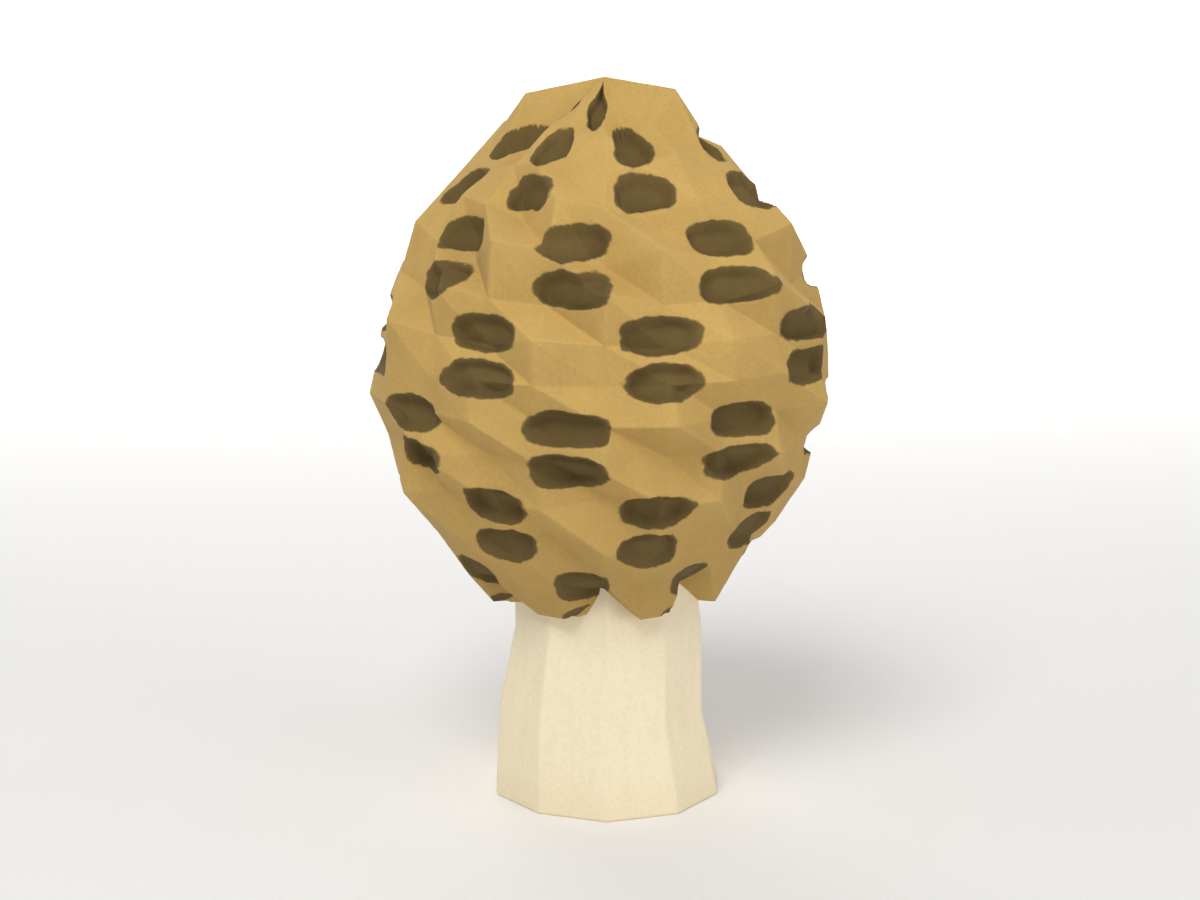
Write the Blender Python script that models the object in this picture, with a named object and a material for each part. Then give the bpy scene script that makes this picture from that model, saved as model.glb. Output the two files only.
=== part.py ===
"""A morel mushroom standing on its cut foot: a ridged, pitted cap on a flat-sided stem.

Metres, +Z up, the front towards -Y. The origin is the middle of the cut foot, on the surface it stands on.
"""

import math

import bmesh
import bpy
from mathutils import Vector

MM = 0.001

# ---- driving dimensions, in millimetres and degrees ----
CAP_CENTRE_HEIGHT = 58.5      # the cap's centre above the foot; every ridge and pit is drawn from this point
CAP_RADIUS = 29.5             # the cap's half width before its ridges
CAP_GIRTH = (1.0, 0.08, -0.055, 0.04)    # shares of the half width, by powers of the cosine from the tip
CAP_RISE = 38.8               # scales the heights of the cap's rings
CAP_HEIGHTS = (0.0, 0.73, -0.04, 0.31)   # shares of the rise, by powers of the cosine from the tip
TIP_HEIGHT = 42.0             # the cap's centre to the tip
CAP_COLUMNS = 20              # creases round the cap
CAP_RINGS = 13                # rows of creases from the tip to the hem
FIRST_RING = 19.1             # angle of the first row from the tip
RING_STEP = 10.53             # angle between rows
HEM_DROP = 30.3               # the cap's centre down to the flat underside of the hem
HEM_RADIUS = 10.0             # of the underside's inner edge, inside the stem's line
HEM_SCALLOP = 0.14            # the hem's own waves, as a share of its radius, with a notch at the front
HEM_WAVES = 7
# The ridges are waves that run round the cap and turn from row to row:
# (waves round the cap, height as a share of the radius, phase at the first row, turn per row)
RIDGE_WAVES = (
    (7, 0.036, -39.0, 96.7),
    (7, 0.034, 37.0, 176.1),
    (8, 0.017, -165.0, 122.9),
    (5, 0.024, 121.0, 128.5),
    (4, 0.033, 137.0, -18.8),
    (2, 0.045, -98.0, -14.0),
    (1, 0.013, 177.0, -22.2),
)

PITS_AROUND = 7
PIT_WIDTH = 24.0              # degrees round the cap
PIT_HEIGHT = 4.9
PIT_DEPTH = 1.6
PIT_DRAFT = 0.35              # how far a pit's wall leans in for each millimetre down
PIT_LEAST_FLOOR = 0.45        # a wall never leans in past this share of the way to the pit's middle
PIT_HEM_ROWS = 2.5            # pits grow shallower over this many rows of creases above the hem
PIT_HEM_SHARE = 0.2           # down to this share of their depth
PIT_CORNER = 0.62             # 1 would be a plain ellipse, less is squarer
PIT_OUTLINE_POINTS = 8
PIT_ROW_RISE = 5.84           # rows of pits are evenly spaced up the cap
PIT_TOP_ROW = 33.2            # height of the highest whole row above the cap's centre
PIT_ROWS = 11
PIT_AZIMUTH = 16.0            # of the first pit right of the front in the highest whole row
TIP_PITS = (40.8, 37.9)       # top and bottom of the part row at the tip
TIP_STEP = 2                  # which has a pit only at every second place, beginning left of the front
PIT_LIP = 0.2                 # a pit's walls start to lean in from just above the skin
PIT_REACH_OUT = 3.0           # how far a pit's cutter stands out of the skin
PIT_REACH_IN = 1.5            # how far it goes below the pit's floor

STEM_SIDES = 10
# the stem's outline, top to foot: height above the foot, radius
STEM_PROFILE = ((43.0, 12.6), (24.4, 13.7), (12.4, 14.9), (0.0, 16.7))
STEM_SWAY = 0.45              # the stem's rings stand this far to one side and the other
STEM_WAVE = 0.018             # flutes of the stem, as a share of its radius
STEM_FLUTES = 3
STEM_TURN = 110.0             # turn of the flutes from ring to ring

GAP = 0.3                     # between the stem and the socket in the cap
HALVINGS = 30                 # steps in finding a height on the skin

TAN = (0.527, 0.347, 0.123)
CREAM = (0.847, 0.753, 0.552)


def cosd(degrees):
    return math.cos(math.radians(degrees))


def sind(degrees):
    return math.sin(math.radians(degrees))


# ---- the cap's surface ----

def cap_profile(theta):
    """Radius and height of the smooth cap at an angle from the tip, from its centre."""
    girth = sum(share * cosd(theta) ** power for power, share in enumerate(CAP_GIRTH))
    height = sum(share * cosd(theta) ** power for power, share in enumerate(CAP_HEIGHTS))
    return CAP_RADIUS * sind(theta) * girth, CAP_RISE * height


def ridge_height(ring, column):
    """How far a crease point stands out, as a share of its distance from the centre."""
    azimuth = 360.0 * column / CAP_COLUMNS
    if ring == CAP_RINGS - 1:
        return -HEM_SCALLOP * cosd(HEM_WAVES * azimuth)
    return sum(share * cosd(waves * azimuth + phase + turn * ring) for waves, share, phase, turn in RIDGE_WAVES)


def crease_point(ring, column, inset=0.0):
    """A corner of the cap's facets; ring -1 is the tip and ring CAP_RINGS the underside's inner edge."""
    azimuth = 360.0 * column / CAP_COLUMNS
    if ring < 0:
        point = Vector((0.0, 0.0, TIP_HEIGHT))
    elif ring == CAP_RINGS:
        point = Vector((HEM_RADIUS * sind(azimuth), -HEM_RADIUS * cosd(azimuth), -HEM_DROP))
    else:
        radius, height = cap_profile(FIRST_RING + RING_STEP * ring)
        share = 1.0 + ridge_height(ring, column)
        point = share * Vector((radius * sind(azimuth), -radius * cosd(azimuth), height))
        point.z = max(point.z, -HEM_DROP)
    return point * (1.0 - inset / point.length)


def skin_point(ring, column):
    """A point on the cap's facets, ring and column being any numbers. Facets are split upper left to lower right."""
    row = math.floor(ring)
    side = math.floor(column)
    down = ring - row
    right = column - side
    near = crease_point(row, side)
    far = crease_point(row + 1, side + 1)
    if row < 0:
        return near.lerp(crease_point(0, side).lerp(far, right), down)
    if right > down:
        corner = crease_point(row, side + 1)
        return near + right * (corner - near) + down * (far - corner)
    corner = crease_point(row + 1, side)
    return near + down * (corner - near) + right * (far - corner)


def skin_at(height, azimuth):
    """The point on the cap's facets at this height above the cap's centre and this azimuth."""
    column = azimuth * CAP_COLUMNS / 360.0
    above, below = -1.0, CAP_RINGS - 1.0
    for _ in range(HALVINGS):
        ring = 0.5 * (above + below)
        if skin_point(ring, column).z > height:
            above = ring
        else:
            below = ring
    return skin_point(below, column)


# ---- meshes ----

def finish(bm, name, lift=0.0):
    """Turn a bmesh in millimetres into a named object in metres."""
    bmesh.ops.recalc_face_normals(bm, faces=bm.faces)
    bmesh.ops.translate(bm, verts=bm.verts, vec=(0.0, 0.0, lift))
    bmesh.ops.scale(bm, verts=bm.verts, vec=(MM, MM, MM))
    mesh = bpy.data.meshes.new(name)
    bm.to_mesh(mesh)
    bm.free()
    piece = bpy.data.objects.new(name, mesh)
    bpy.context.scene.collection.objects.link(piece)
    return piece


def facet_rows(bm, rows):
    """Join rows of points with triangles, each quad split from upper left to lower right."""
    for upper, lower in zip(rows, rows[1:]):
        count = len(upper)
        for i in range(count):
            j = (i + 1) % count
            bm.faces.new((upper[i], lower[i], lower[j]))
            bm.faces.new((upper[i], lower[j], upper[j]))


def fan(bm, ring, point):
    centre = bm.verts.new(point)
    for i, vert in enumerate(ring):
        bm.faces.new((vert, ring[(i + 1) % len(ring)], centre))


def cap_body(name, inset=0.0):
    """The cap's closed faceted skin, drawn in by inset towards its centre, and by less near the hem."""
    bm = bmesh.new()
    rows = []
    for ring in range(CAP_RINGS + 1):
        share = min(1.0, max(PIT_HEM_SHARE, (CAP_RINGS - 1 - ring) / PIT_HEM_ROWS))
        rows.append([bm.verts.new(crease_point(ring, column, inset * share)) for column in range(CAP_COLUMNS)])
    facet_rows(bm, rows)
    fan(bm, rows[0], crease_point(-1, 0, inset))
    hem = sum((vert.co for vert in rows[-1]), Vector()) / CAP_COLUMNS
    fan(bm, rows[-1], hem)
    return finish(bm, name, CAP_CENTRE_HEIGHT)


def rounded_outline():
    """A pit's outline as shares of its half width and half height."""
    for i in range(PIT_OUTLINE_POINTS):
        angle = 360.0 * (i + 0.5) / PIT_OUTLINE_POINTS
        across, up = cosd(angle), sind(angle)
        yield math.copysign(abs(across) ** PIT_CORNER, across), math.copysign(abs(up) ** PIT_CORNER, up)


def add_pit(bm, top, bottom, azimuth):
    """A tapered plug through the skin between two heights, wider outside than at the pit's floor."""
    height, half = 0.5 * (top + bottom), 0.5 * (top - bottom)
    middle = skin_at(height, azimuth)
    rim = [skin_at(height + half * up, azimuth + 0.5 * PIT_WIDTH * across) for across, up in rounded_outline()]
    rows = []
    for depth in (-PIT_REACH_OUT, -PIT_LIP, PIT_DEPTH + PIT_REACH_IN):
        rows.append([])
        for point in rim:
            inward = middle - point
            lean = min(PIT_DRAFT * max(depth, 0.0) / inward.length, PIT_LEAST_FLOOR)
            rows[-1].append(bm.verts.new(point - point.normalized() * depth + inward * lean))
    facet_rows(bm, rows)
    fan(bm, rows[0], middle + middle.normalized() * PIT_REACH_OUT)
    fan(bm, rows[-1], middle - middle.normalized() * (PIT_DEPTH + PIT_REACH_IN))


def pit_rows():
    """Top, bottom, first azimuth and step of each row; the rows change sides two by two."""
    half_step = 180.0 / PITS_AROUND
    yield (*TIP_PITS, PIT_AZIMUTH - half_step, TIP_STEP)
    for row in range(PIT_ROWS):
        height = PIT_TOP_ROW - PIT_ROW_RISE * row
        yield height + 0.5 * PIT_HEIGHT, height - 0.5 * PIT_HEIGHT, PIT_AZIMUTH + (row // 2 % 2) * half_step, 1


def pit_plugs():
    bm = bmesh.new()
    for top, bottom, first, step in pit_rows():
        for i in range(0, PITS_AROUND, step):
            add_pit(bm, top, bottom, first + 360.0 * i / PITS_AROUND)
    return finish(bm, "pit_plugs", CAP_CENTRE_HEIGHT)


def stem_body(name, grow=0.0):
    """The fluted ten-sided stem; grow makes the socket's plug, which is larger all round and runs on below."""
    bm = bmesh.new()
    rows = []
    for ring, (height, radius) in enumerate(STEM_PROFILE):
        sway = STEM_SWAY * (1 if ring % 2 else -1)
        rows.append([])
        for side in range(STEM_SIDES):
            azimuth = 360.0 * side / STEM_SIDES
            wave = 1.0 + STEM_WAVE * cosd(STEM_FLUTES * azimuth + STEM_TURN * ring)
            reach = radius * wave + grow / cosd(180.0 / STEM_SIDES)
            x = reach * sind(azimuth) + sway
            rows[-1].append(bm.verts.new((x, -reach * cosd(azimuth), height + (grow if ring == 0 else 0.0))))
    facet_rows(bm, rows)
    top = STEM_PROFILE[0][0] + grow
    fan(bm, rows[0], (0.0, 0.0, top))
    bm.faces.new(rows[-1])
    return finish(bm, name)


# ---- assembling ----

def boolean(piece, tool, operation):
    """Add an exact Boolean that joins or cuts with a tool object, which is then only a guide."""
    cut = piece.modifiers.new(tool.name, "BOOLEAN")
    cut.operation = operation
    cut.solver = "EXACT"
    cut.object = tool
    tool.hide_render = True
    tool.display_type = "WIRE"


def material(name, colour, roughness):
    made = bpy.data.materials.new(name)
    made.use_nodes = True
    shader = made.node_tree.nodes["Principled BSDF"]
    shader.inputs["Base Color"].default_value = (*colour, 1.0)
    shader.inputs["Roughness"].default_value = roughness
    shader.inputs["Metallic"].default_value = 0.0
    return made


def build():
    for old in list(bpy.data.objects):
        bpy.data.objects.remove(old, do_unlink=True)
    cap = cap_body("cap")
    boolean(cap, pit_plugs(), "DIFFERENCE")
    boolean(cap, cap_body("pit_floors", PIT_DEPTH), "UNION")
    boolean(cap, stem_body("stem_socket", GAP), "DIFFERENCE")
    cap.data.materials.append(material("cap_skin", TAN, 0.85))
    stem = stem_body("stem")
    stem.data.materials.append(material("stem_skin", CREAM, 0.75))


build()
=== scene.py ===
"""Looks of a morel mushroom: a ridged tan cap with dark pits on a cream, flat-sided stem.

Lengths inside the shape classes are millimetres and angles degrees; meshes are handed over in metres.
The cap's shape is worked out from its own centre, which lies below its tip.
"""

import logging
import math
from dataclasses import dataclass, field
from enum import Enum
from typing import Any

import bpy
import numpy as np
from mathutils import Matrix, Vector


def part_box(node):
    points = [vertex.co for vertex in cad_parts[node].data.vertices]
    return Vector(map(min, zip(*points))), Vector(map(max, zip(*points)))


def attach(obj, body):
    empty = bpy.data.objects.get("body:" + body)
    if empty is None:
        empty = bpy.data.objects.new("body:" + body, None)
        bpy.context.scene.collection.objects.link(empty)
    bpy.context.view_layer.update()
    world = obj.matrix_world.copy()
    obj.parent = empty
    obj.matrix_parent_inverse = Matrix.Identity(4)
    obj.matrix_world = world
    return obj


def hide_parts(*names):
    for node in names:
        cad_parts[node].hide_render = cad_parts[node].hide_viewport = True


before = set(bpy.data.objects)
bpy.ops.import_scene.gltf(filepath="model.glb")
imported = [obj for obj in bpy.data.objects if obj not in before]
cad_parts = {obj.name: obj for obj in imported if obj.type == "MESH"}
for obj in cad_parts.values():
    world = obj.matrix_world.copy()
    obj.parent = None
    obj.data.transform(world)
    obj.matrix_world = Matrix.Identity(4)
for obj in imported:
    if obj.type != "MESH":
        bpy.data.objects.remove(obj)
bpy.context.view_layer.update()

MM = 0.001

# Large odd numbers that mix a lattice corner's place and a seed into a number that looks random.
HASH_STRIDES = (73856093, 19349663, 83492791)
HASH_SEED_STRIDE = 2654435761
HASH_MIX = 1274126177

# A noise texture mostly keeps to this span of its 0 to 1.
NOISE_SPAN = (0.3, 0.7)
# How far a fine grain takes the roughness up and down, and how strongly it tilts the light.
ROUGHNESS_SPREAD = 0.06
BUMP_STRENGTH = 0.8

log = logging.getLogger("morel")


class Part(Enum):
    """The two pieces of the mushroom: node name and the record's material slot."""

    CAP = ("cap", "cap_skin")
    STEM = ("stem", "stem_skin")

    @property
    def node(self) -> str:
        """Name of the solid that the finished piece stands for."""
        return self.value[0]

    @property
    def slot(self) -> str:
        """Material slot of the record for this part."""
        return self.value[1]


# ---------------------------------------------------------------- shader tools

def linear(hex_colour: str) -> tuple[float, float, float, float]:
    """Turn an sRGB hex colour into the linear RGBA that shaders take.

    Args:
        hex_colour: six hex digits.

    Returns:
        Linear red, green, blue and an alpha of 1.
    """
    shares = [int(hex_colour[i:i + 2], 16) / 255.0 for i in (0, 2, 4)]
    bent = [s / 12.92 if s <= 0.04045 else ((s + 0.055) / 1.055) ** 2.4 for s in shares]
    return (*bent, 1.0)


def per_mm(size_mm: float) -> float:
    """Texture scale, in waves per metre, of a pattern whose grains are this many millimetres apart."""
    return 1.0 / (size_mm * MM)


def stretched(low: float, high: float) -> dict[str, float]:
    """Map Range settings that stretch a noise's usual span to low to high."""
    return {"From Min": NOISE_SPAN[0], "From Max": NOISE_SPAN[1], "To Min": low, "To Max": high}


def add_node(tree: bpy.types.NodeTree, kind: str, settings: dict[str | int, Any] | None = None,
             links: dict[str | int, bpy.types.NodeSocket] | None = None) -> bpy.types.Node:
    """Add one node with its settings and incoming links.

    Args:
        tree: the node tree that gets the node.
        kind: the node's Blender type name.
        settings: values by name or input number; a name that the node has as an attribute sets that, and
            any other name or number sets an input socket.
        links: output sockets by the name or number of the input that each feeds.

    Returns:
        The new node.
    """
    node = tree.nodes.new(kind)
    for name, value in (settings or {}).items():
        if isinstance(name, str) and hasattr(node, name):
            setattr(node, name, value)
        else:
            node.inputs[name].default_value = value
    for socket, output in (links or {}).items():
        tree.links.new(output, node.inputs[socket])
    return node


def plain_material(name: str, constants: dict[str, Any]) -> tuple[bpy.types.Material, bpy.types.Node]:
    """Make a material whose shader has these constants set on its own sockets.

    Args:
        name: the material's name.
        constants: values by the name of the shader's socket.

    Returns:
        The material and its shader node.
    """
    made = bpy.data.materials.new(name)
    made.use_nodes = True
    shader = made.node_tree.nodes["Principled BSDF"]
    for socket, value in constants.items():
        shader.inputs[socket].default_value = value
    return made, shader


def roughen(tree: bpy.types.NodeTree, shader: bpy.types.Node, grain: bpy.types.NodeSocket,
            roughness: float, height_mm: float) -> None:
    """Let a fine grain vary the shader's roughness a little and raise its surface.

    Args:
        tree: the material's node tree.
        shader: the shader whose roughness and normal the grain feeds.
        grain: output socket of the grain's noise.
        roughness: the middle of the roughness.
        height_mm: how high the grain stands.
    """
    rough = add_node(tree, "ShaderNodeMapRange",
                     {"To Min": roughness - ROUGHNESS_SPREAD, "To Max": roughness + ROUGHNESS_SPREAD},
                     {"Value": grain})
    tree.links.new(rough.outputs["Result"], shader.inputs["Roughness"])
    bump = add_node(tree, "ShaderNodeBump", {"Strength": BUMP_STRENGTH, "Distance": height_mm * MM},
                    {"Height": grain})
    tree.links.new(bump.outputs["Normal"], shader.inputs["Normal"])


# ---------------------------------------------------------------- shape tools

def smooth_step(low: float, high: float, value: np.ndarray) -> np.ndarray:
    """Ease from 0 at low to 1 at high: with t the clipped share of the way, t squared times (3 - 2t)."""
    t = np.clip((value - low) / (high - low), 0.0, 1.0)
    return t * t * (3.0 - 2.0 * t)


def random_field(points: np.ndarray, cell: float, seed: int) -> np.ndarray:
    """Smooth random field in space, from -1 to 1.

    Formula: each corner of a cubic lattice of side cell gets a number from a whole-number hash of its place
    and the seed; a point's value is the eased mix of the eight corners round it.

    Args:
        points: places in millimetres, the last axis being x, y, z.
        cell: the lattice's side, about the size of one grain.
        seed: a number that picks the field.

    Returns:
        One value for each point.
    """
    place = points / cell
    base = np.floor(place).astype(np.int64)
    t = smooth_step(0.0, 1.0, place - base)
    total = np.zeros(points.shape[:-1])
    for corner in np.ndindex(2, 2, 2):
        x, y, z = np.moveaxis((base + np.array(corner)) * HASH_STRIDES, -1, 0)
        mixed = x ^ y ^ z ^ (seed * HASH_SEED_STRIDE)
        mixed = (mixed ^ (mixed >> 13)) * HASH_MIX & 0xFFFFFFFF
        mixed = (mixed ^ (mixed >> 16)) & 0xFFFF
        share = np.prod(np.where(np.array(corner) == 1, t, 1.0 - t), axis=-1)
        total += share * (2.0 * mixed / 0xFFFF - 1.0)
    return total


@dataclass(frozen=True)
class Grain:
    """A raised grain of a coarse and a fine random field, with the lattice side, height and seed of each."""

    sizes: tuple[float, float]
    heights: tuple[float, float]
    seeds: tuple[int, int]

    def rise(self, points: np.ndarray) -> np.ndarray:
        """Height of the grain at each point: the sum of both fields, each times its own height."""
        return sum(height * random_field(points, size, seed)
                   for size, height, seed in zip(self.sizes, self.heights, self.seeds))


def soften(grid: np.ndarray, passes: int) -> np.ndarray:
    """Round a grid's creases: each pass mixes every point 1:2:1 with its neighbours along both directions.

    Args:
        grid: rows by columns by 3; columns wrap round, the first and last rows stay.
        passes: how often the mix is made.

    Returns:
        The softened grid.
    """
    out = grid
    for _ in range(passes):
        out = 0.25 * np.roll(out, 1, axis=1) + 0.5 * out + 0.25 * np.roll(out, -1, axis=1)
        inner = 0.25 * out[:-2] + 0.5 * out[1:-1] + 0.25 * out[2:]
        out = np.concatenate([grid[:1], inner, grid[-1:]])
    return out


def on_facets(corners: np.ndarray, ring: np.ndarray, column: np.ndarray) -> np.ndarray:
    """Points on a skin of flat triangles, at any ring and column number.

    Formula: each cell of the corners is split from upper left to lower right, and a point's place in its
    cell, right and down, mixes the corners of whichever of the two triangles it is in.

    Args:
        corners: the triangles' corners, rings by columns by 3, top to bottom; columns wrap round.
        ring: ring numbers of the points, counted from the first row of corners.
        column: their column numbers.

    Returns:
        The points, in the shape of ring, by 3.
    """
    rings, columns = corners.shape[:2]
    row = np.minimum(np.floor(ring).astype(int), rings - 2)
    side = np.floor(column).astype(int)
    down, right = (ring - row)[..., None], (column - side)[..., None]
    here, there = side % columns, (side + 1) % columns
    near, far = corners[row, here], corners[row + 1, there]
    up_right, low_left = corners[row, there], corners[row + 1, here]
    upper = near + right * (up_right - near) + down * (far - up_right)
    lower = near + down * (low_left - near) + right * (far - low_left)
    return np.where(right > down, upper, lower)


def capped(grid: np.ndarray) -> np.ndarray:
    """List a grid's values row by row, with the first and last rows each become one value, their mean."""
    width = grid.shape[2:]
    return np.concatenate([grid[:1].mean(axis=1), grid[1:-1].reshape(-1, *width), grid[-1:].mean(axis=1)])


def closed_piece(name: str, grid: np.ndarray, values: dict[str, np.ndarray],
                 flats: np.ndarray | None = None) -> bpy.types.Object:
    """Make a closed object of a grid that wraps round, with a point at each end.

    Every cell is split from upper left to lower right. The grid's first and last rows become one point each,
    at the row's mean.

    Args:
        name: the object's name.
        grid: rows by columns by 3, in millimetres, top to bottom, columns running to the right.
        values: named numbers, rows by columns, that the material reads.
        flats: the same grid on the plain flat facets. Where it is given, each face gets the number "lie",
            the upward share of its facet's normal: 1 faces up, 0 is upright and -1 faces down.

    Returns:
        The object, in metres, at the origin.
    """
    rows, columns = grid.shape[:2]
    points = capped(grid) * MM
    index = 1 + np.arange((rows - 2) * columns).reshape(rows - 2, columns)
    right = np.roll(index, -1, axis=1)
    a, b, c, d = index[:-1], index[1:], right[1:], right[:-1]
    sides = np.concatenate([np.stack([a, b, c], -1).reshape(-1, 3), np.stack([a, c, d], -1).reshape(-1, 3)])
    top = np.stack([np.zeros(columns, int), index[0], right[0]], -1)
    bottom = np.stack([np.full(columns, len(points) - 1), right[-1], index[-1]], -1)
    corners = np.concatenate([top, sides, bottom]).astype(np.int32)

    mesh = bpy.data.meshes.new(name)
    mesh.vertices.add(len(points))
    mesh.vertices.foreach_set("co", points.astype(np.float32).ravel())
    mesh.loops.add(corners.size)
    mesh.loops.foreach_set("vertex_index", corners.ravel())
    mesh.polygons.add(len(corners))
    mesh.polygons.foreach_set("loop_start", np.arange(0, corners.size, 3, dtype=np.int32))
    mesh.update(calc_edges=True)
    mesh.validate()
    mesh.shade_smooth()
    for label, numbers in values.items():
        layer = mesh.attributes.new(label, "FLOAT", "POINT")
        layer.data.foreach_set("value", capped(numbers).astype(np.float32))
    if flats is not None:
        a, b, c = np.moveaxis(capped(flats)[corners], 1, 0)
        normal = np.cross(b - a, c - a)
        lie = normal[:, 2] / np.maximum(np.linalg.norm(normal, axis=1), 1e-9)
        layer = mesh.attributes.new("lie", "FLOAT", "FACE")
        layer.data.foreach_set("value", lie.astype(np.float32))
    piece = bpy.data.objects.new(name, mesh)
    bpy.context.scene.collection.objects.link(piece)
    return piece


def dress(piece: bpy.types.Object, part: Part, finish: bpy.types.Material) -> None:
    """Give a finished piece its material and its body, and hide the solid that it stands for.

    Args:
        piece: the finished piece.
        part: which part of the mushroom it is.
        finish: its material.
    """
    piece.data.materials.append(finish)
    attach(piece, "root")
    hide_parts(part.node)


# ---------------------------------------------------------------- finishes

@dataclass(frozen=True)
class CapSkin:
    """Fresh morel cap skin, as grown: tan ribs and dark brown pits.

    To the eye it is matt and a little velvety. Water-rich flesh has an IOR of about 1.38 and no gloss, being
    rough all over, and a faint nap brightens it at glancing angles. Ribs are paler along their crests. Upper
    facets are painted lighter and those that hang over painted darker, as painted light and shade, and the
    hem is darkened by a painted shade. Real skin is granular at 0.1 to 0.3 mm; the grain here is 0.45 mm, as
    coarse as it needs to be to show.
    """

    rib: str = "C7A35C"
    crest: str = "D2AF68"
    pit: str = "745F34"
    pit_deep: str = "66532C"
    crest_share: float = 0.25
    roughness: float = 0.86
    ior: float = 1.38
    nap: float = 0.02
    mottle_mm: float = 7.0
    mottle_tones: tuple[float, float] = (0.94, 1.05)
    grain_mm: float = 0.45
    grain_tones: tuple[float, float] = (0.945, 1.05)
    grain_height_mm: float = 0.05
    ragged_mm: float = 1.3
    ragged_depth: float = 0.2
    pit_rim: tuple[float, float] = (0.99, 1.09)
    # Painted shade: below these heights the cap is darkened towards the hem, down to this share.
    hem_painted_shade_mm: tuple[float, float] = (29.0, 45.0)
    hem_painted_shade: float = 0.9
    # Painted light and shade: facets facing up are painted lighter, those facing down darker, by their lie.
    painted_light_lies: tuple[float, float] = (-0.15, 0.6)
    painted_light_by_lie: tuple[float, float] = (0.87, 1.09)

    def material(self) -> bpy.types.Material:
        """Build the skin's shader.

        The mesh gives from_pit, the distance to the nearest pit's middle, which with a ragged noise draws the
        pits' outlines; crest, how far a rib stands out; and lie, which way a facet faces. The colour is the
        rib's or the pit's, times the tones of the mottling and the grain, a painted shade that darkens the
        hem, and painted light and shade by the facet's lie: lighter facing up, darker facing down.

        Returns:
            The material.
        """
        made, shader = plain_material("morel_cap_skin_matt", {"IOR": self.ior, "Sheen Weight": self.nap})
        tree = made.node_tree
        place = add_node(tree, "ShaderNodeTexCoord").outputs["Object"]
        from_pit, crest, lie = (add_node(tree, "ShaderNodeAttribute", {"attribute_name": name}).outputs["Fac"]
                                for name in ("from_pit", "crest", "lie"))
        patterns = ((self.mottle_mm, 3.0, 0.55), (self.grain_mm, 2.0, 0.6), (self.ragged_mm, 1.5, 0.6))
        mottle, grain, ragged = (
            add_node(tree, "ShaderNodeTexNoise",
                     {"Scale": per_mm(size), "Detail": detail, "Roughness": rough},
                     {"Vector": place}).outputs["Fac"] for size, detail, rough in patterns)

        nibbled = add_node(tree, "ShaderNodeMath", {"operation": "MULTIPLY_ADD", 1: self.ragged_depth},
                           {0: ragged, 2: from_pit})
        inside, outside = (rim + 0.5 * self.ragged_depth for rim in self.pit_rim)
        pit = add_node(tree, "ShaderNodeMapRange",
                       {"interpolation_type": "SMOOTHSTEP", "From Min": inside, "From Max": outside,
                        "To Min": 1.0, "To Max": 0.0}, {"Value": nibbled.outputs["Value"]})
        worn = add_node(tree, "ShaderNodeMath", {"operation": "MULTIPLY", 1: self.crest_share}, {0: crest})
        rib = add_node(tree, "ShaderNodeMix",
                       {"data_type": "RGBA", 6: linear(self.rib), 7: linear(self.crest)},
                       {0: worn.outputs["Value"]})
        hollow = add_node(tree, "ShaderNodeMix",
                          {"data_type": "RGBA", 6: linear(self.pit_deep), 7: linear(self.pit)}, {0: mottle})
        base = add_node(tree, "ShaderNodeMix", {"data_type": "RGBA"},
                        {0: pit.outputs["Result"], 6: rib.outputs[2], 7: hollow.outputs[2]}).outputs[2]

        height = add_node(tree, "ShaderNodeSeparateXYZ", None, {"Vector": place}).outputs["Z"]
        tones = (
            (mottle, stretched(*self.mottle_tones)),
            (grain, stretched(*self.grain_tones)),
            # Painted shade: darker towards the hem, by height.
            (height, {"interpolation_type": "SMOOTHSTEP", "From Min": self.hem_painted_shade_mm[0] * MM,
                      "From Max": self.hem_painted_shade_mm[1] * MM, "To Min": self.hem_painted_shade, "To Max": 1.0}),
            # Painted light and shade by the facet's lie: lighter facing up, darker facing down.
            (lie, {"From Min": self.painted_light_lies[0], "From Max": self.painted_light_lies[1],
                   "To Min": self.painted_light_by_lie[0], "To Max": self.painted_light_by_lie[1]}),
        )
        for source, settings in tones:
            tone = add_node(tree, "ShaderNodeMapRange", settings, {"Value": source}).outputs["Result"]
            base = add_node(tree, "ShaderNodeVectorMath", {"operation": "SCALE"},
                            {0: base, "Scale": tone}).outputs["Vector"]
        tree.links.new(base, shader.inputs["Base Color"])
        roughen(tree, shader, grain, self.roughness, self.grain_height_mm)
        return made


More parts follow.
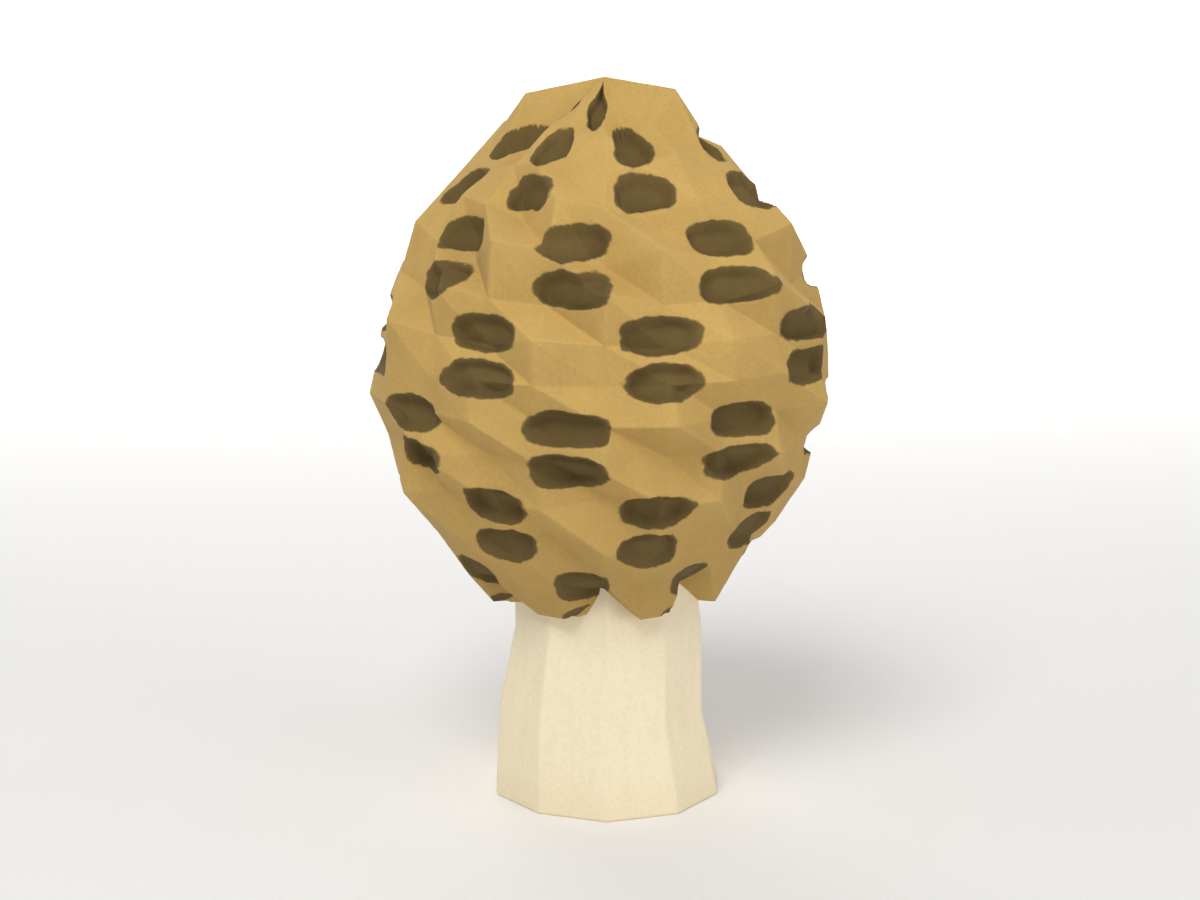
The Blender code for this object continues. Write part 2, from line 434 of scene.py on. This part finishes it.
@dataclass(frozen=True)
class StemFlesh:
    """Morel stem flesh, as grown and cut at the foot: cream and dry.

    To the eye it is chalky: rough, with a bran-like grain and faint upright fibres, and slightly yellower by
    the cut. Real meal is 0.2 to 0.5 mm across and real fibres about 1 mm apart and 10 mm long.
    """

    cream: str = "FAECCD"
    shade: str = "F2E3C2"
    foot: str = "EADAB4"
    foot_height_mm: float = 7.0
    foot_share: float = 0.35
    roughness: float = 0.8
    ior: float = 1.38
    meal_mm: float = 0.5
    meal_tones: tuple[float, float] = (0.955, 1.025)
    meal_height_mm: float = 0.05
    fibre_mm: float = 1.1
    fibre_squeeze: float = 0.12

    def material(self) -> bpy.types.Material:
        """Build the stem's shader.

        The colour runs from shade to cream along the fibres and goes over to the foot's within a few
        millimetres of the cut, times the tone of the meal.

        Returns:
            The material.
        """
        made, shader = plain_material("morel_stem_flesh_mealy", {"IOR": self.ior})
        tree = made.node_tree
        place = add_node(tree, "ShaderNodeTexCoord").outputs["Object"]
        upright = add_node(tree, "ShaderNodeMapping", {"Scale": (1.0, 1.0, self.fibre_squeeze)},
                           {"Vector": place})
        fibre = add_node(tree, "ShaderNodeTexNoise", {"Scale": per_mm(self.fibre_mm), "Detail": 2.0},
                         {"Vector": upright.outputs["Vector"]})
        meal = add_node(tree, "ShaderNodeTexNoise",
                        {"Scale": per_mm(self.meal_mm), "Detail": 2.0, "Roughness": 0.65}, {"Vector": place})
        height = add_node(tree, "ShaderNodeSeparateXYZ", None, {"Vector": place}).outputs["Z"]
        low = add_node(tree, "ShaderNodeMapRange",
                       {"interpolation_type": "SMOOTHSTEP", "From Min": 0.0,
                        "From Max": self.foot_height_mm * MM, "To Min": self.foot_share, "To Max": 0.0},
                       {"Value": height})
        body = add_node(tree, "ShaderNodeMix",
                        {"data_type": "RGBA", 6: linear(self.shade), 7: linear(self.cream)},
                        {0: fibre.outputs["Fac"]})
        footed = add_node(tree, "ShaderNodeMix", {"data_type": "RGBA", 7: linear(self.foot)},
                          {0: low.outputs["Result"], 6: body.outputs[2]})
        tone = add_node(tree, "ShaderNodeMapRange", stretched(*self.meal_tones),
                        {"Value": meal.outputs["Fac"]})
        colour = add_node(tree, "ShaderNodeVectorMath", {"operation": "SCALE"},
                          {0: footed.outputs[2], "Scale": tone.outputs["Result"]})
        tree.links.new(colour.outputs["Vector"], shader.inputs["Base Color"])
        roughen(tree, shader, meal.outputs["Fac"], self.roughness, self.meal_height_mm)
        return made


@dataclass(frozen=True)
class StudioPaper:
    """Pale matt background paper, uncoated: to the eye an even off-white with no gloss."""

    colour: str = "FBFAF8"
    roughness: float = 0.95

    def material(self) -> bpy.types.Material:
        """Build the paper's shader: one pale colour and a high roughness."""
        return plain_material("studio_paper_matt",
                              {"Base Color": linear(self.colour), "Roughness": self.roughness})[0]


# ---------------------------------------------------------------- the mushroom

@dataclass(frozen=True)
class RidgeWave:
    """One wave of the cap's ridges: how often it runs round, its height share, phase, and turn per ring."""

    around: int
    share: float
    phase: float
    turn: float


@dataclass(frozen=True)
class PitRow:
    """One row of pits, at heights above the cap's centre.

    Its first pit is at an azimuth, each is so many degrees wide, a higher squareness makes the outline
    squarer, and there is a pit at every so many places.
    """

    top: float
    bottom: float
    azimuth: float
    width: float
    squareness: float
    step: int = 1


@dataclass
class Cap:
    """The cap: a ridged, faceted egg with rows of pits and a zigzag hem round the stem."""

    top: float
    tip: float = 42.0
    radius: float = 29.5
    girth: tuple[float, ...] = (1.0, 0.08, -0.055, 0.04)
    rise: float = 38.8
    heights: tuple[float, ...] = (0.0, 0.73, -0.04, 0.31)
    columns: int = 20
    rings: int = 13
    first_ring: float = 19.1
    ring_step: float = 10.53
    hem_drop: float = 30.3
    hem_radius: float = 10.0
    hem_scallop: float = 0.14
    hem_waves: int = 7
    waves: tuple[RidgeWave, ...] = (
        RidgeWave(7, 0.036, -39.0, 96.7),
        RidgeWave(7, 0.034, 37.0, 176.1),
        RidgeWave(8, 0.017, -165.0, 122.9),
        RidgeWave(5, 0.024, 121.0, 128.5),
        RidgeWave(4, 0.033, 137.0, -18.8),
        RidgeWave(2, 0.045, -98.0, -14.0),
        RidgeWave(1, 0.013, 177.0, -22.2),
    )
    pits_around: int = 7
    pit_width: float = 22.8
    pit_height: float = 4.6
    pit_depth: float = 1.6
    pit_wall: float = 0.26
    pit_squareness: float = 2.7
    pit_wobble: Grain = Grain((3.1, 1.1), (0.12, 0.05), (11, 12))
    pit_row_rise: float = 5.84
    pit_top_row: float = 33.2
    pit_rows: int = 12
    pit_azimuth: float = 16.0
    tip_pits: tuple[float, float] = (41.3, 35.1)
    tip_pit_width: float = 30.78
    tip_pit_squareness: float = 1.3
    tip_step: int = 2
    hem_pit_rings: float = 2.5
    hem_pit_share: float = 0.2
    hem_plain_rings: float = 0.2
    cells: int = 18
    underside_cells: int = 6
    crest_passes: int = 12
    crest_range: tuple[float, float] = (-0.05, 0.35)
    tip_fade: tuple[float, float] = (-0.98, -0.9)
    grain: Grain = Grain((1.3, 0.7), (0.025, 0.015), (3, 4))
    skin: CapSkin = field(default_factory=CapSkin)

    def profile(self, theta: np.ndarray) -> tuple[np.ndarray, np.ndarray]:
        """Radius and height of the smooth cap at an angle from the tip.

        Formula: with c the angle's cosine, the radius is its sine times a cubic in c, and the height is
        another cubic in c, which swells the lower half and draws the top to a blunt point.

        Args:
            theta: angles from the tip, seen from the cap's centre.

        Returns:
            Radii and heights from the centre.
        """
        c = np.cos(np.radians(theta))
        radius = self.radius * np.sin(np.radians(theta)) * np.polynomial.polynomial.polyval(c, self.girth)
        return radius, self.rise * np.polynomial.polynomial.polyval(c, self.heights)

    def creases(self) -> np.ndarray:
        """Work out the corners of the facets.

        Formula: the smooth profile, pushed out from the centre by the sum of the ridge waves; the last ring
        before the underside has the hem's own scallops instead, and nothing lies below the hem's flat.

        Returns:
            Corners by ring, column and 3: the tip, the rings and the underside's inner edge.
        """
        ring = np.arange(self.rings)[:, None]
        azimuth = 360.0 * np.arange(self.columns)[None, :] / self.columns
        radius, height = self.profile(self.first_ring + self.ring_step * ring)
        share = 1.0 + sum(w.share * np.cos(np.radians(w.around * azimuth + w.phase + w.turn * ring))
                          for w in self.waves)
        share[-1] = 1.0 - self.hem_scallop * np.cos(np.radians(self.hem_waves * azimuth[0]))
        sine, cosine = np.sin(np.radians(azimuth)), np.cos(np.radians(azimuth))
        z = np.maximum(height * share, -self.hem_drop)
        wavy = np.stack([radius * share * sine, -radius * share * cosine, z], -1)
        tip = np.broadcast_to([0.0, 0.0, self.tip], (1, self.columns, 3))
        edge = [self.hem_radius * sine, -self.hem_radius * cosine, np.full_like(sine, -self.hem_drop)]
        return np.concatenate([tip, wavy, np.stack(edge, -1)])

    def facets(self, ring: np.ndarray, column: np.ndarray) -> np.ndarray:
        """Points on the cap's facets at any ring and column number.

        Formula: as on any skin of flat triangles, but above ring 0 a point mixes the tip, by how far up it
        is, with the edge between the two corners below it.

        Args:
            ring: ring numbers, from -1 at the tip to the number of rings at the underside's inner edge.
            column: column numbers.

        Returns:
            The points from the cap's centre.
        """
        corners = self.creases()
        edge = on_facets(corners, np.ones_like(ring), column)
        fan = corners[0, 0] + (ring + 1.0)[..., None] * (edge - corners[0, 0])
        return np.where(ring[..., None] < 0.0, fan, on_facets(corners, ring + 1.0, column))

    def rows_of_pits(self) -> list[PitRow]:
        """List the rows of pits.

        Formula: a part row at the tip, then level rows at even heights, each two of which begin half a step
        further round than the two above.

        Returns:
            The rows, top to bottom.
        """
        half_step = 180.0 / self.pits_around
        rows = [PitRow(*self.tip_pits, self.pit_azimuth - half_step, self.tip_pit_width,
                       self.tip_pit_squareness, self.tip_step)]
        for row in range(self.pit_rows):
            middle = self.pit_top_row - self.pit_row_rise * row
            azimuth = self.pit_azimuth + (row // 2 % 2) * half_step
            rows.append(PitRow(middle + 0.5 * self.pit_height, middle - 0.5 * self.pit_height,
                               azimuth, self.pit_width, self.pit_squareness))
        return rows

    def pit_field(self, ring: np.ndarray, azimuth: np.ndarray,
                  skin: np.ndarray) -> tuple[np.ndarray, np.ndarray]:
        """How deep each point is sunk, and how far it is from the nearest pit's middle.

        Formula: the distance to the nearest pit's middle is in shares of its half width round the cap and of
        its half height, joined with a power above 2, so that outlines are rounded oblongs; a little coarse
        and fine grain makes them uneven. A pit's rim is at a distance of 1, and it sinks smoothly from there
        to its floor, which rises near the hem.

        Args:
            ring: ring numbers of the points.
            azimuth: their angles round the cap from the front.
            skin: the points, from the cap's centre.

        Returns:
            Depths in millimetres, and distances from 0 to 2.
        """
        pitch = 360.0 / self.pits_around
        wobble = self.pit_wobble.rise(skin)
        far = 2.0
        nearest = np.full_like(ring, far)
        for row in self.rows_of_pits():
            up = (2.0 * skin[..., 2] - row.top - row.bottom) / (row.top - row.bottom)
            turn = (azimuth - row.azimuth) / pitch
            place = np.round(turn)
            across = (turn - place) * pitch / (0.5 * row.width)
            away = (np.abs(up) ** row.squareness + np.abs(across) ** row.squareness) ** (1.0 / row.squareness)
            away = np.where(place % self.pits_around % row.step == 0, away + wobble, far)
            nearest = np.minimum(nearest, away)
        above_hem = self.rings - 1.0 - ring
        nearest = np.where(above_hem < -self.hem_plain_rings, far, nearest)
        share = np.clip(above_hem / self.hem_pit_rings, self.hem_pit_share, 1.0)
        depth = self.pit_depth * share * smooth_step(0.0, self.pit_wall, 1.0 - nearest)
        return depth, nearest

    def build(self) -> bpy.types.Object:
        """Make the cap: crisp facets, sunk pits and a fine grain, as one closed skin.

        Formula: a fine grid of points on the facets, each moved towards the cap's centre by the depth of its
        pit and of the grain, which fades at the tip. A rib's crest is where the facets stand out from a much
        softened copy of themselves.

        Returns:
            The cap, dressed.
        """
        hem = self.rings - 1.0
        rings = np.concatenate([np.linspace(-1.0, hem, self.rings * self.cells + 1),
                                hem + np.arange(1, self.underside_cells + 1) / self.underside_cells])
        columns = np.arange(self.columns * self.cells) / self.cells
        ring, column = np.meshgrid(rings, columns, indexing="ij")
        flats = self.facets(ring, column)
        out = flats / np.linalg.norm(flats, axis=-1, keepdims=True)
        crest = np.sum((flats - soften(flats, self.crest_passes)) * out, axis=-1)
        depth, from_pit = self.pit_field(ring, 360.0 * column / self.columns, flats)
        depth = (depth + self.grain.rise(flats)) * smooth_step(*self.tip_fade, ring)
        skin = flats - out * depth[..., None]
        skin[..., 2] += self.top - self.tip
        values = {"from_pit": from_pit, "crest": smooth_step(*self.crest_range, crest)}
        # The flats give each face its lie, by which the cap's material paints light and shade.
        piece = closed_piece("cap_skin", skin, values, flats)
        dress(piece, Part.CAP, self.skin.material())
        return piece


@dataclass
class Stem:
    """The stem: ten flat sides, three slow flutes and a wider, flat-cut foot with a slightly rounded rim."""

    sides: int = 10
    heights: tuple[float, ...] = (43.0, 24.4, 12.4, 0.0)
    radii: tuple[float, ...] = (12.6, 13.7, 14.9, 16.7)
    sway: float = 0.45
    flute: float = 0.018
    flutes: int = 3
    flute_turn: float = 110.0
    cells: int = 22
    foot_round: float = 0.35
    foot_steps: int = 5
    grain: Grain = Grain((1.2, 0.7), (0.035, 0.0245), (21, 22))
    grain_sink: float = 0.035
    grain_fade: float = 1.5
    flesh: StemFlesh = field(default_factory=StemFlesh)

    def corners(self) -> np.ndarray:
        """Work out the corners of the stem's flat sides.

        Formula: each ring is a circle of its own radius with a three-wave flute that turns from ring to ring,
        and stands a little to one side or the other of the middle by turns.

        Returns:
            Corners by ring, side and 3, top to foot.
        """
        ring = np.arange(len(self.heights))[:, None]
        azimuth = np.radians(360.0 * np.arange(self.sides)[None, :] / self.sides)
        wave = 1.0 + self.flute * np.cos(self.flutes * azimuth + np.radians(self.flute_turn * ring))
        reach = np.array(self.radii)[:, None] * wave
        shift = self.sway * np.where(ring % 2 == 1, 1.0, -1.0)
        height = np.broadcast_to(np.array(self.heights)[:, None], reach.shape)
        return np.stack([reach * np.sin(azimuth) + shift, -reach * np.cos(azimuth), height], -1)

    def build(self) -> bpy.types.Object:
        """Make the stem: the flat sides with their grain, the rounded rim and the level cut under the foot.

        Formula: a fine grid of points on the flat sides, moved level outwards by the grain, which fades at
        both ends. Below the last row above the rim, a quarter circle leads in to the cut. The top and the
        cut are each closed by a row half way in and a point in the middle.

        Returns:
            The stem, dressed.
        """
        last = len(self.heights) - 1
        rings = np.linspace(0.0, last, last * self.cells + 1)
        columns = np.arange(self.sides * self.cells) / self.cells
        skin = on_facets(self.corners(), *np.meshgrid(rings, columns, indexing="ij"))
        level = skin * [1.0, 1.0, 0.0]
        out = level / np.linalg.norm(level, axis=-1, keepdims=True)
        from_end = np.minimum(skin[..., 2], self.heights[0] - skin[..., 2])
        lift = self.grain.rise(skin) * smooth_step(0.0, self.grain_fade, from_end) - self.grain_sink
        skin = (skin + out * lift[..., None])[skin[:, 0, 2] > self.foot_round]

        turn = np.radians(np.linspace(0.0, 90.0, self.foot_steps))[:, None, None]
        rim = skin[-1:] * [1.0, 1.0, 0.0] - out[-1:] * self.foot_round * (1.0 - np.cos(turn))
        rim = rim + np.array([0.0, 0.0, self.foot_round]) * (1.0 - np.sin(turn))
        half, pole = np.array([0.5, 0.5, 1.0]), np.array([0.0, 0.0, 1.0])
        ends = skin[:1], rim[-1:]
        skin = np.concatenate([ends[0] * pole, ends[0] * half, skin, rim, ends[1] * half, ends[1] * pole])
        piece = closed_piece("stem_flesh", skin, {})
        dress(piece, Part.STEM, self.flesh.material())
        return piece


# ---------------------------------------------------------------- the studio

def stand(rig: bpy.types.Object, place: np.ndarray, target: np.ndarray) -> None:
    """Put a light or camera in the scene, upright and facing a target.

    Args:
        rig: the light or camera.
        place: where it stands.
        target: what it faces.
    """
    away = (place - target) / np.linalg.norm(place - target)
    rig.location = place
    rig.rotation_euler = (math.acos(float(away[2])), 0.0, math.atan2(float(away[0]), -float(away[1])))
    bpy.context.scene.collection.objects.link(rig)


@dataclass(frozen=True)
class SoftLight:
    """One square soft box: where it stands, what it faces, its side, in metres, and its power."""

    name: str
    place: tuple[float, float, float]
    faces: tuple[float, float, float]
    side: float
    watts: float

    def build(self) -> None:
        """Make the light and turn it to what it faces."""
        lamp = bpy.data.lights.new(self.name, "AREA")
        lamp.size = self.side
        lamp.energy = self.watts
        stand(bpy.data.objects.new(self.name, lamp), np.array(self.place), np.array(self.faces))


@dataclass
class Studio:
    """Paper sweep, soft lights, pale surroundings and the camera. Lengths are metres here."""

    paper_reach: float = 1.6
    paper_half_width: float = 3.2
    paper_bend: float = 0.5
    paper_top: float = 2.0
    bend_steps: int = 24
    sky: str = "FFFFFF"
    sky_strength: float = 0.40
    camera_rise: float = 10.5
    camera_distance: float = 0.323
    camera_aim: tuple[float, float, float] = (-0.0006, 0.0, 0.0488)
    lens_mm: float = 69.1
    sensor_mm: float = 36.0
    lights: tuple[SoftLight, ...] = (
        SoftLight("key", (-0.20, -0.62, 0.78), (0.0, 0.0, 0.05), 0.42, 4.6),
        SoftLight("fill", (0.80, -0.60, 0.20), (0.0, 0.0, 0.05), 0.50, 1.9),
        SoftLight("back_fill", (-0.30, 0.90, 0.60), (0.0, 0.0, 0.05), 0.50, 1.2),
        SoftLight("backdrop", (0.0, 1.0, 1.0), (0.0, 1.9, 0.1), 1.4, 20.0),
    )
    paper: StudioPaper = field(default_factory=StudioPaper)

    def sweep(self) -> None:
        """Make the paper: level under the mushroom, then a quarter circle up to a wall behind.

        Formula: a profile of run, bend and wall, carried along x.
        """
        turn = np.radians(np.linspace(0.0, 90.0, self.bend_steps))
        wall = self.paper_reach + self.paper_bend
        y = np.concatenate([[-self.paper_reach], self.paper_reach + self.paper_bend * np.sin(turn), [wall]])
        z = np.concatenate([[0.0], self.paper_bend * (1.0 - np.cos(turn)), [self.paper_top]])
        count = len(y)
        x = np.repeat([-self.paper_half_width, self.paper_half_width], count)
        points = np.stack([x, np.tile(y, 2), np.tile(z, 2)], -1)
        near = np.arange(count - 1)
        faces = np.stack([near, near + count, near + count + 1, near + 1], -1)
        mesh = bpy.data.meshes.new("paper_sweep")
        mesh.from_pydata(points.tolist(), [], faces.tolist())
        mesh.shade_smooth()
        mesh.materials.append(self.paper.material())
        sheet = bpy.data.objects.new("paper_sweep", mesh)
        bpy.context.scene.collection.objects.link(sheet)

    def camera(self) -> None:
        """Set the camera, looking down a little on the mushroom from the front."""
        lens = bpy.data.cameras.new("view")
        lens.lens = self.lens_mm
        lens.sensor_width = self.sensor_mm
        rig = bpy.data.objects.new("view", lens)
        rise = math.radians(self.camera_rise)
        target = np.array(self.camera_aim)
        away = np.array([0.0, -math.cos(rise), math.sin(rise)])
        stand(rig, target + away * self.camera_distance, target)
        bpy.context.scene.camera = rig

    def build(self) -> None:
        """Set the paper, the surroundings, the lights and the camera."""
        self.sweep()
        world = bpy.data.worlds.new("pale_room")
        world.use_nodes = True
        back = world.node_tree.nodes["Background"]
        back.inputs["Color"].default_value = linear(self.sky)
        back.inputs["Strength"].default_value = self.sky_strength
        bpy.context.scene.world = world
        for light in self.lights:
            light.build()
        self.camera()
        bpy.context.scene.view_settings.view_transform = "Standard"


def main() -> None:
    """Build the studio and the mushroom."""
    logging.basicConfig(level=logging.INFO, format="%(name)s: %(message)s")
    Studio().build()
    for part in (Stem(), Cap(top=float(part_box(Part.CAP.node)[1][2]) / MM)):
        piece = part.build()
        log.info("%s: %d faces", piece.name, len(piece.data.polygons))


if __name__ == "__main__":
    main()
